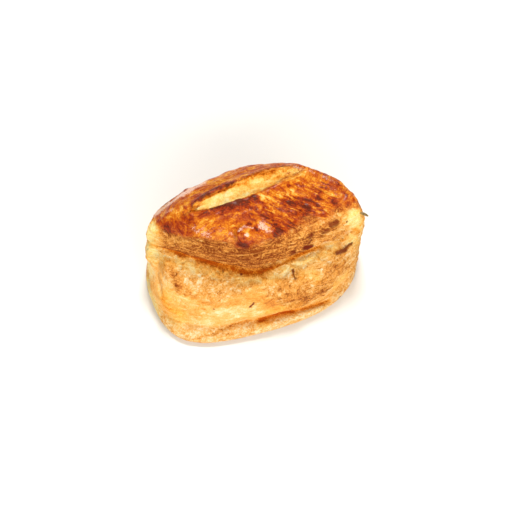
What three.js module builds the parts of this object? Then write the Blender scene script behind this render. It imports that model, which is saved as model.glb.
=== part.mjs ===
// A pogaca: a palm-sized oval bun of flaky dough, baked upright.
//
// The bun is one closed body. From below it has a flat underside, a thin foot that spread on the
// hot tray, a plain side wall, a crease where the layers parted, and a domed cap that bulges out
// over the crease. One long slash along the cap has opened and shows the pale crumb.
//
// Millimetres, +Z up. +X runs along the bun to its right end, -Y is its front. The origin is on
// the surface the bun stands on, below the middle of its bounding box.
import * as THREE from 'three';
import { mergeVertices } from 'three/addons/utils/BufferGeometryUtils.js';

// ---------------------------------------------------------------- driving dimensions

// Outlines of the bun seen from above. middle is the centre of an outline, reach its half sizes
// to the left, right, front and back, and turn swings it about its middle, in degrees. fullness
// says how square it is at its front left, front right, back left and back right: 2 is an ellipse,
// more is squarer, less is leaner. tips bends its left and right tip back by so much, or forward.
// lead is the angle round the bun at which the right tip of the outline lies.
const SLASH = { middle: [-0.1, 14.8], fullness: [1.8, 1.8, 1.8, 1.8], turn: 12, lead: 40 };
const STANDING = { middle: [-2.4, 0.3], turn: 4 };
const OUTLINES = {
  underside: { ...STANDING, reach: [22, 22, 0, 0], fullness: [2, 2, 2, 2] },
  foot: { ...STANDING, reach: [48.0, 50.6, 35.7, 35.7], fullness: [3.4, 2.5, 2.3, 2.4] },
  body: { middle: [-2.1, 0.8], reach: [46.2, 51.6, 31.4, 33.4], fullness: [2.9, 2.0, 2.1, 2.4], turn: -3 },
  crease: {
    middle: [-3.9, 2.8],
    reach: [43.4, 52.6, 17.0, 25.2],
    fullness: [1.0, 1.3, 1.6, 2.7],
    tips: [3.5, -7],
  },
  cap: {
    middle: [-1.9, 2.8],
    reach: [44.3, 51.0, 17.6, 27.6],
    fullness: [1.15, 1.5, 1.6, 2.5],
    tips: [6.8, -7],
  },
  slash: { ...SLASH, reach: [26.5, 28.6, 4.5, 4.6] },
  slashBottom: { ...SLASH, reach: [24.7, 26.8, 0, 0] },
};

// Sections of the bun, from the middle of the underside up to the bottom of the slash. Each is
// a mix of two outlines, drawn in by inset all round, at a height z for its front, back, left and
// right. rows is how many rows of faces lead to the next section.
const SECTIONS = [
  { name: 'underside', rows: 3, of: ['underside'], z: [0, 0, 0, 0] },
  { name: 'underside edge', rows: 2, of: ['foot'], inset: 2.6, z: [0, 0, 0, 0] },
  { name: 'foot', rows: 1, of: ['foot'], z: [2.2, 2.4, 2.4, 2.4] },
  { name: 'foot top', rows: 2, of: ['foot', 'body'], mix: 0.15, inset: 0.4, z: [4.6, 5.0, 5.0, 5.0] },
  { name: 'seam', rows: 2, of: ['foot', 'body'], mix: 0.75, inset: 0.8, z: [6.4, 6.8, 6.8, 6.8] },
  { name: 'low wall', rows: 3, of: ['body'], z: [9.5, 10, 10, 10] },
  { name: 'wall', rows: 4, of: ['body', 'crease'], mix: 0.1, z: [15, 16, 15.5, 16] },
  { name: 'shoulder', rows: 4, of: ['body', 'crease'], mix: 0.45, inset: -1.2, z: [20.5, 22, 21.5, 23] },
  { name: 'ledge', rows: 2, of: ['body', 'crease'], mix: 0.85, inset: -0.8, z: [24, 26.5, 25.8, 29] },
  { name: 'crease', rows: 2, of: ['crease'], z: [25.6, 28, 28.2, 31.2] },
  { name: 'lip', rows: 2, of: ['crease', 'cap'], mix: 0.35, inset: -0.6, z: [27.5, 29.5, 30, 33.2] },
  { name: 'bulge', rows: 3, of: ['cap'], z: [32, 33, 33.4, 35.5] },
  { name: 'cap shoulder', rows: 4, of: ['cap', 'slash'], mix: 0.07, z: [37.8, 39.4, 35.4, 39.6] },
  { name: 'upper cap', rows: 4, of: ['cap', 'slash'], mix: 0.34, z: [43.7, 42.6, 41.7, 41.2] },
  { name: 'crown', rows: 3, of: ['cap', 'slash'], mix: 0.7, z: [47.4, 45.4, 45.2, 44.6] },
  { name: 'slash lip', rows: 1, of: ['slash'], z: [49.0, 48.0, 46.4, 46.0] },
  { name: 'slash wall', rows: 2, of: ['slash'], inset: 0.9, z: [46.9, 46.6, 45.6, 45.2] },
  { name: 'slash bottom', rows: 0, of: ['slashBottom'], z: [47.2, 47.2, 45.4, 45.0] },
];

// The skin has this many columns of faces round the bun. The last rows of it lie in the slash.
const COLUMNS = 108;
const SLASH_ROWS = 4;

// Relief starts above the flat underside and is whole from a little higher up.
const FLAT_BELOW = 0.6;
const RELIEF_FROM = 4.0;

// Swells and hollows: a point on the crust, how far round it they reach, and how high they rise.
const SWELLS = [
  { at: [-22.5, -0.2, 44.7], size: 9, rise: 0.9 },
  { at: [-3.8, -6.0, 44.2], size: 7, rise: 1.0 },
  { at: [5.8, -5.2, 44.0], size: 6, rise: 0.9 },
  { at: [-13.0, -0.9, 46.6], size: 6, rise: -0.5 },
  { at: [-32.7, 5.7, 42.2], size: 8, rise: 0.7 },
  { at: [35.6, 3.8, 42.1], size: 8, rise: 0.7 },
  { at: [19.8, -4.0, 42.5], size: 6, rise: -0.6 },
  { at: [-4.5, -13.9, 34.1], size: 9, rise: 0.5 },
  { at: [-22.9, -5.9, 36.1], size: 9, rise: -0.4 },
  { at: [24.1, -10.8, 37.6], size: 9, rise: -0.5 },
  { at: [-43.9, -15.8, 13.7], size: 9, rise: 0.8 },
  { at: [-13.8, -26.2, 17.3], size: 11, rise: -0.7 },
  { at: [14.1, -23.3, 20.3], size: 10, rise: 0.7 },
  { at: [33.1, -22.1, 14.4], size: 11, rise: 0.5 },
  { at: [43.0, 18.4, 17.1], size: 12, rise: 0.7 },
  { at: [10.1, 32.6, 17.0], size: 14, rise: -0.8 },
  { at: [-22.1, 30.8, 18.0], size: 12, rise: 0.8 },
  { at: [-45.8, 12.9, 14.9], size: 9, rise: -0.6 },
  { at: [25.9, 25.7, 37.6], size: 9, rise: 0.7 },
  { at: [-11.7, 28.5, 38.6], size: 10, rise: -0.5 },
];

// Folds: a line along the crust, its half width, and how far it stands up (below 0: is cut in).
const FOLDS = [
  // where the side wall meets the foot, deepest at the front
  {
    line: [[-31.7, -33.3, 4.5], [-16.6, -30.8, 6.2], [3.4, -30.9, 7], [15.7, -29.5, 6.8], [28.8, -28, 5.4]],
    width: 1.8,
    rise: -1.4,
  },
  { line: [[30.7, 28.0, 6.4], [8.6, 33.4, 6.4], [-19.6, 32.0, 6.8]], width: 2.2, rise: -1.0 },
  // the edge of a torn layer across the front wall
  {
    line: [[-37.6, -15, 19.6], [-26.6, -21.2, 19.2], [-19.8, -24, 18.4], [-11.4, -23.6, 20], [-2, -21, 22.3]],
    width: 2.4,
    rise: 0.9,
  },
  { line: [[24.6, 29.3, 18.6], [4.1, 32.8, 20.1], [-13.9, 32.5, 18.5]], width: 2.8, rise: 0.8 },
  // the notch between the cap and the wall at the left end, and the layer that hangs off below it
  { line: [[-43, 13, 26], [-47, 6, 24], [-45, -1, 25]], width: 3.6, rise: -1.6 },
  { line: [[-48.4, 4.3, 15], [-49.2, -1, 12], [-48.8, -8, 9]], width: 3.0, rise: 0.9 },
  { line: [[-44.3, -2.3, 22.0], [-45.1, -7.5, 18.2], [-45.6, -11.6, 15.0]], width: 2.0, rise: -0.8 },
  // wrinkles in the glazed crust of the cap, right of the swells
  { line: [[15.4, 8.3, 46.6], [24.5, 5.7, 44.3], [35.2, -2.6, 41.0]], width: 1.7, rise: -0.6 },
  { line: [[10.9, 5.6, 46.5], [21.3, 2.1, 43.9], [28.4, -2.4, 41.7]], width: 1.7, rise: -0.5 },
  { line: [[8.2, 3.4, 46.2], [12.9, 1.1, 45.0], [17.0, -2.3, 43.5]], width: 1.6, rise: 0.4 },
];

// Crackling bits baked into the crust: a point, how wide, and how far they stand out.
const BITS = [
  { at: [-6.8, -9.2, 41.8], size: 2.4, rise: 0.7 },
  { at: [35.4, -7.0, 39.9], size: 2.3, rise: 0.6 },
  { at: [31.8, -8.7, 39.0], size: 1.8, rise: 0.5 },
  { at: [24.2, -9.7, 39.1], size: 1.8, rise: 0.5 },
  { at: [22.7, -12.2, 32.8], size: 2.3, rise: 0.6 },
  { at: [15.1, -13.2, 30.7], size: 2.3, rise: 0.6 },
  { at: [39.6, -12.1, 24.3], size: 2.4, rise: 0.6 },
  { at: [14.6, -20.2, 22.2], size: 1.8, rise: 0.5 },
  { at: [-25.3, 23.8, 39.0], size: 2.2, rise: 0.6 },
  { at: [14.3, 29.1, 33.9], size: 2.3, rise: 0.6 },
  { at: [34.6, 21.3, 35.9], size: 2.0, rise: 0.6 },
];

// The crust is nowhere quite smooth: waves of these lengths cross it, each this high.
const WAVES = [
  { length: 23, height: 0.2, count: 3 },
  { length: 11, height: 0.1, count: 4 },
];
const GOLDEN_ANGLE = Math.PI * (3 - Math.sqrt(5));

// ---------------------------------------------------------------- outlines and sections

const DEGREE = Math.PI / 180;

// An outline's arm from its middle to its edge at an angle, counted from the right end.
function outlineArm({ reach, fullness, tips = [0, 0], turn = 0, lead = 0 }, angle) {
  const c = Math.cos(angle - lead * DEGREE);
  const s = Math.sin(angle - lead * DEGREE);
  const [left, right, front, back] = reach;
  const power = fullness[(s < 0 ? 0 : 2) + (c < 0 ? 0 : 1)];
  const scale = (Math.abs(c) ** power + Math.abs(s) ** power) ** (-1 / power);
  const bend = (c < 0 ? tips[0] : tips[1]) * (c * scale) ** 2;
  const x = (c < 0 ? left : right) * c * scale;
  const y = (s < 0 ? front : back) * s * scale + bend;
  const arm = new THREE.Vector2(x, y);
  return arm.rotateAround(new THREE.Vector2(0, 0), turn * DEGREE);
}

// A section's height at an angle: the heights of the nearer end and the nearer side, blended.
function sectionHeight({ of, z }, angle) {
  const own = angle - (OUTLINES[of[0]].lead ?? 0) * DEGREE;
  const [front, back, left, right] = z;
  const sideways = Math.sin(own) ** 2;
  const end = Math.cos(own) < 0 ? left : right;
  const side = Math.sin(own) < 0 ? front : back;
  return end * (1 - sideways) + side * sideways;
}

// The point of a section at an angle: two outlines mixed, drawn in by the inset, and lifted.
function sectionPoint(section, angle) {
  const { of, mix = 0, inset = 0 } = section;
  const first = OUTLINES[of[0]];
  const second = OUTLINES[of[1] ?? of[0]];
  const arm = outlineArm(first, angle).lerp(outlineArm(second, angle), mix);
  if (inset) arm.setLength(arm.length() - inset);
  const edge = new THREE.Vector2(...first.middle).lerp(new THREE.Vector2(...second.middle), mix).add(arm);
  return new THREE.Vector3(edge.x, edge.y, sectionHeight(section, angle));
}

// One column of the skin: a smooth curve through every section at one angle.
function columnPoints(angle) {
  const stations = SECTIONS.map((section) => sectionPoint(section, angle));
  const curve = new THREE.CatmullRomCurve3(stations, false, 'centripetal');
  const points = [];
  SECTIONS.forEach((section, k) => {
    for (let row = 0; row < section.rows; row++) {
      points.push(curve.getPoint((k + row / section.rows) / (SECTIONS.length - 1)));
    }
  });
  points.push(stations.at(-1).clone());
  for (const point of points) point.z = Math.max(point.z, 0);
  return points;
}

// ---------------------------------------------------------------- relief

const smooth = (from, to, value) => THREE.MathUtils.smoothstep(value, from, to);
const bell = (distance, width) => Math.exp(-((distance / width) ** 2));

const foldCurves = FOLDS.map(({ line, width, rise }) => {
  const curve = new THREE.CatmullRomCurve3(line.map((p) => new THREE.Vector3(...p)));
  return { points: curve.getPoints(20), width, rise };
});

const waves = WAVES.flatMap(({ length, height, count }, group) =>
  Array.from({ length: count }, (_, i) => {
    const around = GOLDEN_ANGLE * (i + 1 + 7 * group);
    const up = 0.9 * Math.sin(2.3 * (i + 1) + group);
    const direction = new THREE.Vector3(Math.cos(around), Math.sin(around), up).normalize();
    return { direction: direction.multiplyScalar((2 * Math.PI) / length), height, shift: 1.7 * i + group };
  }),
);

function distanceToLine(point, line) {
  const segment = new THREE.Line3();
  const nearest = new THREE.Vector3();
  let least = Infinity;
  for (let i = 1; i < line.length; i++) {
    segment.set(line[i - 1], line[i]).closestPointToPoint(point, true, nearest);
    least = Math.min(least, nearest.distanceTo(point));
  }
  return least;
}

// How far the crust stands out from the plain form at a point.
function relief(point) {
  let rise = 0;
  const centre = new THREE.Vector3();
  for (const mark of [...SWELLS, ...BITS]) {
    rise += mark.rise * bell(centre.set(...mark.at).distanceTo(point), mark.size * 0.6);
  }
  for (const fold of foldCurves) {
    rise += fold.rise * bell(distanceToLine(point, fold.points), fold.width);
  }
  for (const wave of waves) rise += wave.height * Math.sin(wave.direction.dot(point) + wave.shift);
  return rise * smooth(FLAT_BELOW, RELIEF_FROM, point.z);
}

// ---------------------------------------------------------------- skin

// The unit vector out of the skin at one point of the grid of columns. In the slash, where the
// two walls meet, it is straight up.
function outward(grid, column, row) {
  if (row >= grid[column].length - SLASH_ROWS) return new THREE.Vector3(0, 0, 1);
  const next = grid[(column + 1) % COLUMNS][row];
  const previous = grid[(column + COLUMNS - 1) % COLUMNS][row];
  const above = grid[column][row + 1];
  const below = grid[column][Math.max(row - 1, 0)];
  const along = next.clone().sub(previous);
  const up = above.clone().sub(below);
  return along.cross(up).normalize();
}

function skinGeometry() {
  const plain = Array.from({ length: COLUMNS }, (_, i) => columnPoints((i / COLUMNS) * 2 * Math.PI));
  const rows = plain[0].length;
  const position = [];
  plain.forEach((column, i) => {
    column.forEach((point, j) => {
      const moved = point.clone().addScaledVector(outward(plain, i, j), relief(point));
      position.push(moved.x, moved.y, moved.z);
    });
  });
  const index = [];
  for (let i = 0; i < COLUMNS; i++) {
    for (let j = 0; j < rows - 1; j++) {
      const a = i * rows + j;
      const b = ((i + 1) % COLUMNS) * rows + j;
      index.push(a, b, b + 1, a, b + 1, a + 1);
    }
  }
  const geometry = new THREE.BufferGeometry();
  geometry.setAttribute('position', new THREE.Float32BufferAttribute(position, 3));
  geometry.setIndex(index);
  return closed(geometry);
}

// Joins the points that meet along the two middle lines and drops the faces that vanish there.
function closed(geometry) {
  const merged = mergeVertices(geometry, 1e-3);
  const index = Array.from(merged.index.array);
  const kept = [];
  for (let i = 0; i < index.length; i += 3) {
    const [a, b, c] = index.slice(i, i + 3);
    if (a !== b && b !== c && c !== a) kept.push(a, b, c);
  }
  merged.setIndex(kept);
  merged.computeVertexNormals();
  return merged;
}

// ---------------------------------------------------------------- the object

const bakedCrust = new THREE.MeshStandardMaterial({ color: 0xd98a3c, roughness: 0.55, metalness: 0 });

const bun = new THREE.Mesh(skinGeometry(), bakedCrust);
bun.name = 'bun';

const group = new THREE.Group();
group.name = 'pogaca';
group.add(bun);

export default group;
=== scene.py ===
# %% [markdown]
# # A pogaca, dressed around its solid
#
# A pogaca is a palm-sized bun of laminated dough. Egg wash makes the top of it glossy and brown,
# the sides stay dry, pale and flaky, and a slash along the top opens in the oven and shows yellow
# crumb. The solid of the bun is already made and packed, so this lesson starts by loading it.
# Everything below is measured in the solid's own frame: X runs along the bun, -Y is its front,
# and Z is up. Blender works in metres, and the sizes here are written in millimetres.

# %% The packed solid
import math
import bmesh
import bpy
import numpy as np
from mathutils import Matrix, Vector, noise
from mathutils.bvhtree import BVHTree


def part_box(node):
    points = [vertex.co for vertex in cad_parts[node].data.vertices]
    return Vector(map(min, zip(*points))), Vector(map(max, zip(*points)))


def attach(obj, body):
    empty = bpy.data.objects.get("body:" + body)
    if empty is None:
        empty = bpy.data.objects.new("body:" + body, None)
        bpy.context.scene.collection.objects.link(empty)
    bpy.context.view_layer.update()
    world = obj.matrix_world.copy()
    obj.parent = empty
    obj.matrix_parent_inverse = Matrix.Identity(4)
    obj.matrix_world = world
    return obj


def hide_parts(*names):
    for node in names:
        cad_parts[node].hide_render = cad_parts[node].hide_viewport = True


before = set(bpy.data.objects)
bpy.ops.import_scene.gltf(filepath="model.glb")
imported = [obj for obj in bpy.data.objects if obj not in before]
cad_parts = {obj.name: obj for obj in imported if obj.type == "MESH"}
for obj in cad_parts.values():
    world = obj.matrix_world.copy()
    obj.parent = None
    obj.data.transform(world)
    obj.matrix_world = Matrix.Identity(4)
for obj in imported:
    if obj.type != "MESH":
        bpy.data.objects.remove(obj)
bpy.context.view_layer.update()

MM = 0.001  # metres
bun_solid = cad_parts["bun"]
low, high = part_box("bun")
print("solid of the bun, mm:", [round((high[k] - low[k]) / MM, 1) for k in range(3)])

# %% [markdown]
# The camera looks steeply down on the bun, as a diner does. A matrix of three directions, right,
# up and backwards, turns a camera without any guessing of angles in the viewport. The lens comes
# from the picture: its focal length is counted in pixels of a square frame, and Blender wants it
# in millimetres of a 36 mm sensor.

# %% Camera
PICTURE_WIDTH = 510  # pixels
FOCAL_LENGTH = 1400  # pixels
SENSOR = 36.0  # mm
LOOK_DOWN = math.radians(63.7)
LOOK_TURN = math.radians(12.0)
CAMERA_DISTANCE = 655.0  # mm
CAMERA_AIM = Vector((1.6, 4.8, 0.0))  # mm, the point of the floor in the middle of the picture
NEAREST_SEEN = 10.0  # mm


def add_object(name, data):
    """Blender keeps a thing's data apart from its object, which the scene links to."""
    thing = bpy.data.objects.new(name, data)
    bpy.context.scene.collection.objects.link(thing)
    return thing


look = Vector((
    math.sin(LOOK_TURN) * math.cos(LOOK_DOWN),
    math.cos(LOOK_TURN) * math.cos(LOOK_DOWN),
    -math.sin(LOOK_DOWN),
))
right = Vector((math.cos(LOOK_TURN), -math.sin(LOOK_TURN), 0.0))
up = right.cross(look)
lens = bpy.data.cameras.new("camera")
lens.sensor_width = SENSOR
lens.lens = SENSOR * FOCAL_LENGTH / PICTURE_WIDTH
lens.clip_start = NEAREST_SEEN * MM
camera = add_object("camera", lens)
turn = Matrix((right, up, -look)).transposed().to_4x4()
camera.matrix_world = Matrix.Translation((CAMERA_AIM - CAMERA_DISTANCE * look) * MM) @ turn
bpy.context.scene.camera = camera
print("camera lens, mm:", round(lens.lens, 1))

# %% [markdown]
# The picture is bright, and the bun has one soft, warm shadow round its front. Three things make
# that light. A pale warm sky shines from all round. A lamp high at the back puts the gloss on the
# cap, and the bun keeps its light from the floor in front. A wide lamp in front, 33 degrees up,
# lifts the dough that lies in the shade of the cap and reaches both ends of the bun. An area
# lamp's size sets how soft its shadow is.

# %% Light
LAMPS = [
    # name, place, width and height in mm, power in watts, colour
    ("key lamp", (170, 590, 1040), (300, 300), 13.0, (0.97, 0.99, 1.0)),
    ("front lamp", (-20, -640, 420), (1300, 340), 8.1, (1.0, 0.94, 0.86)),
]
SKY_COLOUR = (1.0, 0.89, 0.73)
SKY_STRENGTH = 0.4


def add_lamp(name, place, sides, power, colour):
    lamp = bpy.data.lights.new(name, "AREA")
    lamp.shape = "RECTANGLE"
    lamp.size = sides[0] * MM
    lamp.size_y = sides[1] * MM
    lamp.energy = power
    lamp.color = colour
    place = Vector(place) * MM
    facing = (-place).to_track_quat("-Z", "Y").to_matrix().to_4x4()
    add_object(name, lamp).matrix_world = Matrix.Translation(place) @ facing


for lamp_row in LAMPS:
    add_lamp(*lamp_row)

sky = bpy.data.worlds.new("sky")
sky.use_nodes = True
sky.node_tree.nodes["Background"].inputs["Color"].default_value = (*SKY_COLOUR, 1.0)
sky.node_tree.nodes["Background"].inputs["Strength"].default_value = SKY_STRENGTH
bpy.context.scene.world = sky
bpy.context.scene.view_settings.view_transform = "Standard"
print("lamps:", [row[0] for row in LAMPS])

# %% [markdown]
# ## The skin
#
# The solid has about ten thousand flat triangles, which is enough for its form and far too few
# for flakes. A copy of it is merged, its triangles are paired back into four-sided faces, and a
# Subdivision Surface rounds them. That is better than subdividing triangles, which would leave a
# star at every corner. The copy is applied at once, because the next steps move its points.

# %% A fine skin from the solid
MERGE_DISTANCE = 0.001  # mm
EVEN_PAIRING = 1.7  # how much the pairing of triangles prefers rows of even quads
ROUNDING_LEVELS = 2


def add_mesh(name, sheet):
    data = bpy.data.meshes.new(name)
    sheet.to_mesh(data)
    sheet.free()
    return add_object(name, data)


def fine_skin(solid, name):
    sheet = bmesh.new()
    sheet.from_mesh(solid.data)
    bmesh.ops.remove_doubles(sheet, verts=sheet.verts, dist=MERGE_DISTANCE * MM)
    bmesh.ops.join_triangles(
        sheet,
        faces=sheet.faces,
        angle_face_threshold=math.pi,
        angle_shape_threshold=math.pi,
        topology_influence=EVEN_PAIRING,
    )
    print("four-sided faces before rounding:", sum(len(face.verts) == 4 for face in sheet.faces))
    skin = add_mesh(name, sheet)
    rounding = skin.modifiers.new("rounding", "SUBSURF")
    rounding.levels = ROUNDING_LEVELS
    rounding.render_levels = ROUNDING_LEVELS
    evaluated = skin.evaluated_get(bpy.context.evaluated_depsgraph_get())
    skin.data = bpy.data.meshes.new_from_object(evaluated)
    skin.modifiers.clear()
    skin.data.materials.clear()
    skin.data.shade_smooth()
    return skin


bun_skin = fine_skin(bun_solid, "bun_skin")
count = len(bun_skin.data.vertices)
points = np.empty(count * 3)
bun_skin.data.vertices.foreach_get("co", points)
points = points.reshape(-1, 3) / MM
normals = np.empty(count * 3)
bun_skin.data.vertex_normals.foreach_get("vector", normals)
normals = normals.reshape(-1, 3)
print("points of the skin:", count)

# %% [markdown]
# ## Finding a spot of the picture on the skin
#
# Most marks of this bun are easiest to point at in the picture, which is 510 pixels wide. A ray
# from the camera through a pixel meets the skin at the spot that shows there, and a tree of the
# skin's faces finds that meeting quickly. From then on the mark lies on the bun, in millimetres,
# and looks right from every side. A pixel just outside the bun is moved inwards until it meets it.

# %% Spots of the picture
BUN_IN_PICTURE = Vector((255.0, 250.0))  # pixels, near the middle of the bun
faces_tree = BVHTree.FromObject(bun_skin, bpy.context.evaluated_depsgraph_get())


def on_skin(pixel):
    """The place on the skin, in mm, that shows at a pixel of the picture."""
    pixel = Vector(pixel)
    while True:
        aside = (pixel.x - PICTURE_WIDTH / 2) / FOCAL_LENGTH
        above = (PICTURE_WIDTH / 2 - pixel.y) / FOCAL_LENGTH
        ray = (look + aside * right + above * up).normalized()
        place = faces_tree.ray_cast(camera.matrix_world.translation, ray)[0]
        if place is not None:
            return np.array(place) / MM
        pixel += (BUN_IN_PICTURE - pixel).normalized()


def trace(pixels):
    """The places of several pixels, as the rows of an array."""
    return np.array([on_skin(pixel) for pixel in pixels])


print("the middle of the cap is at, mm:", on_skin(BUN_IN_PICTURE).round(1))

# %% [markdown]
# ## Where things are on the bun
#
# A baker sees regions: the foot, the dry wall, the crease, the matte belly of the cap, which hangs
# over the crease in a lobe, the glazed top and the open slash. Each becomes a mask, a number from
# 0 to 1 at every point. A soft step, a bell, Blender's noise and the distance to a line make them.
# NumPy works these out for all points at once, apart from the noise.

# %% Helpers for masks
WANDER_SIZE = 7.0  # mm


def smoothstep(low_edge, high_edge, value):
    share = np.clip((value - low_edge) / (high_edge - low_edge), 0.0, 1.0)
    return share * share * (3.0 - 2.0 * share)


def bell(distance, width):
    return np.exp(-((distance / width) ** 2))


def rough(places, size, octaves=2, stretch=(1.0, 1.0, 1.0), shift=0.0):
    """Blender's noise at each place, about -1 to 1. size is a bump's width in mm."""
    scaled = places * np.array(stretch) / size + shift
    return np.array([noise.fractal(place, 1.0, 2.0, octaves) for place in scaled.tolist()])


def distance_to_line(places, line):
    """How far each place is from a line through some points, or from a single point."""
    least = np.linalg.norm(places - line[0], axis=1)
    for start, end in zip(line[:-1], line[1:]):
        span = end - start
        share = np.clip((places - start) @ span / (span @ span), 0.0, 1.0)
        nearest = start + share[:, None] * span
        least = np.minimum(least, np.linalg.norm(places - nearest, axis=1))
    return least


wander = rough(points, WANDER_SIZE, 3)  # makes the edge of every mask and stroke uneven
print("wander of the edges:", wander.min().round(2), "to", wander.max().round(2))

# %% [markdown]
# Going round the bun, a region's edge is a height that changes with the angle. The crease has the
# same outline and heights as in the solid, and the edge of the egg wash is traced in the picture
# at the front and is a plain height at the back, which the picture doesn't show.

# %% Edges of the regions
CREASE_MIDDLE = (-3.9, 2.8)
CREASE_REACH = {"left": 43.4, "right": 52.6, "front": 17.0, "back": 25.2}
CREASE_TIPS = {"left": 3.5, "right": -7.0}
CREASE_HEIGHTS = {"left": 28.2, "right": 31.2, "front": 25.6, "back": 28.0}
SEAM_HEIGHT = 6.0
GLAZE_EDGE = [
    (155, 216), (157, 226), (164, 232), (176, 235), (188, 238), (202, 239), (216, 240), (230, 243),
    (243, 249), (254, 245), (264, 241), (274, 240), (286, 236), (297, 229), (309, 223), (321, 219),
    (332, 218), (342, 215), (351, 203),
]
GLAZE_BACK = [(20, 39.0), (55, 37.5), (90, 38.5), (120, 37.0), (150, 38.0)]  # degrees, mm


def angle_round(places):
    """The angle of each place round the crease's outline, from its right end, in radians."""
    aside = places[:, 0] - CREASE_MIDDLE[0]
    on_left = aside < 0
    aside = aside / np.where(on_left, CREASE_REACH["left"], CREASE_REACH["right"])
    bend = np.where(on_left, CREASE_TIPS["left"], CREASE_TIPS["right"]) * aside ** 2
    back = places[:, 1] - CREASE_MIDDLE[1] - bend
    back = back / np.where(back < 0, CREASE_REACH["front"], CREASE_REACH["back"])
    return np.arctan2(back, aside)


height = points[:, 2]
around = angle_round(points)
sideways = np.sin(around) ** 2
end_height = np.where(np.cos(around) < 0, CREASE_HEIGHTS["left"], CREASE_HEIGHTS["right"])
side_height = np.where(np.sin(around) < 0, CREASE_HEIGHTS["front"], CREASE_HEIGHTS["back"])
crease_height = end_height * (1 - sideways) + side_height * sideways
above_crease = height - crease_height

edge = trace(GLAZE_EDGE)
edge_angles = np.concatenate([np.degrees(angle_round(edge)), [row[0] for row in GLAZE_BACK]])
edge_heights = np.concatenate([edge[:, 2], [row[1] for row in GLAZE_BACK]])
glaze_height = np.interp(np.degrees(around), edge_angles, edge_heights, period=360)
print("crease heights, mm:", crease_height.min().round(1), "to", crease_height.max().round(1))

# %% [markdown]
# The slash is a long lens that lies across the cap at a small angle. Its own two coordinates,
# along it and across it, make its edges easy to state. Its right end closes in streaks, where
# threads of the browned crust still cross the crumb.

# %% The slash
SLASH_MIDDLE = (-0.1, 14.8)
SLASH_TURN = math.radians(12.0)
SLASH_HALF = 30.0
# along the slash, and how far its front and back edge are from its middle line there, in mm
SLASH_EDGES = [
    (-27, 0.0, 0.0), (-24, -0.8, 2.2), (-18, -2.8, 3.6), (-10, -4.2, 3.9), (-4, -4.6, 4.6),
    (6, -4.4, 5.4), (14, -3.4, 4.8), (21, -2.2, 3.8), (27, -0.6, 2.2), (30, 1.0, 1.0),
]
CLOSING = (2.0, 27.0)  # mm along the slash, over which threads come to fill it
THREADS = (1.4, 3, (0.18, 1.0, 1.0), 31.0)  # size in mm, octaves, stretch, shift
THREAD_REACH = {"front": 3.4, "back": 1.4}  # mm, how far threads push the two edges
RAGGED = (1.8, 3)  # size in mm, octaves
RAGGED_REACH = 0.6  # mm
CAP_TOP = (41.0, 43.0)  # mm up, over which the crumb comes in
SOFT_EDGE = (-0.35, 0.45)  # mm, from crust to crumb
SOFTER_EDGE = (-0.6, 2.2)  # mm more, where threads fill the slash
from_middle = points[:, :2] - np.array(SLASH_MIDDLE)
along = from_middle[:, 0] * math.cos(SLASH_TURN) + from_middle[:, 1] * math.sin(SLASH_TURN)
across = from_middle[:, 1] * math.cos(SLASH_TURN) - from_middle[:, 0] * math.sin(SLASH_TURN)
stations, front_edge, back_edge = (np.array(column, float) for column in zip(*SLASH_EDGES))
threads = rough(np.stack([along, across, 0 * across], axis=1), *THREADS)
closing = smoothstep(*CLOSING, along)
inside_front = across - np.interp(along, stations, front_edge)
inside_front = inside_front - closing * THREAD_REACH["front"] * threads
inside_back = np.interp(along, stations, back_edge) - across
inside_back = inside_back - closing * THREAD_REACH["back"] * threads
inside = np.minimum(inside_front, inside_back) + RAGGED_REACH * rough(points, *RAGGED)
crust_side = SOFT_EDGE[0] + SOFTER_EDGE[0] * closing
crumb_side = SOFT_EDGE[1] + SOFTER_EDGE[1] * closing
crumb = smoothstep(crust_side, crumb_side, inside) * smoothstep(*CAP_TOP, height)
crumb *= np.abs(along) < SLASH_HALF
print("share of points in the crumb:", round(float(crumb.mean()), 2))

# %% [markdown]
# With the slash known, the other regions follow. The egg wash ends where the brush stopped, which
# is never a straight line, so its edge wanders. The crease and the seam over the foot are sharper.

# %% Masks of the regions
GLAZE_SOFT = 1.2  # mm either side of its edge
GLAZE_WANDER = 1.2  # mm
CREASE_SOFT = (-0.3, 0.5)  # mm, from wall to belly
SEAM_SOFT = 0.8  # mm either side
glaze = smoothstep(-GLAZE_SOFT, GLAZE_SOFT, height - glaze_height + GLAZE_WANDER * wander)
glaze *= 1 - crumb
over_crease = smoothstep(*CREASE_SOFT, above_crease)
belly = over_crease * (1 - glaze) * (1 - crumb)
foot = 1 - smoothstep(-SEAM_SOFT, SEAM_SOFT, height - SEAM_HEIGHT)
wall = (1 - foot) * (1 - over_crease)
for name, mask in (("glaze", glaze), ("belly", belly), ("wall", wall), ("foot", foot)):
    print("share of points in the", name, round(float(mask.mean()), 2))

# %% [markdown]
# The glazed crust has two grains. Round the slash and the two blisters it runs in rings, like the
# grain round a knot in wood, and at the front right it fans out downhill. Each grain gets a
# coordinate that counts the way across it, and one mask says where the fan takes over.

# %% The two grains of the crust
RING_CORE = 24.0  # mm, half the length of the line that the rings run round
BLISTERS = [(247, 236), (266, 229)]  # pixels
BLISTER_RINGS = (6.5, 4.0)  # mm, from where a blister starts to turn the grain to where it has
FAN_TURN = math.radians(-32.0)
FAN_ALONG = (-14.0, 2.0)  # mm along the slash, over which the fan comes in
FAN_ACROSS = (-2.5, -6.0)  # mm across it
FAN_SLANT = 0.12
FAN_FADING = (30.0, 42.0)  # mm along the bun
FAN_FADED = 0.6
GRAIN_SQUEEZE = 0.2

ring = np.hypot(np.maximum(np.abs(along) - RING_CORE, 0.0), across)
for knot in trace(BLISTERS):
    away = np.linalg.norm(points - knot, axis=1)
    near = smoothstep(*BLISTER_RINGS, away)
    ring = ring * (1 - near) + away * near

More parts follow.
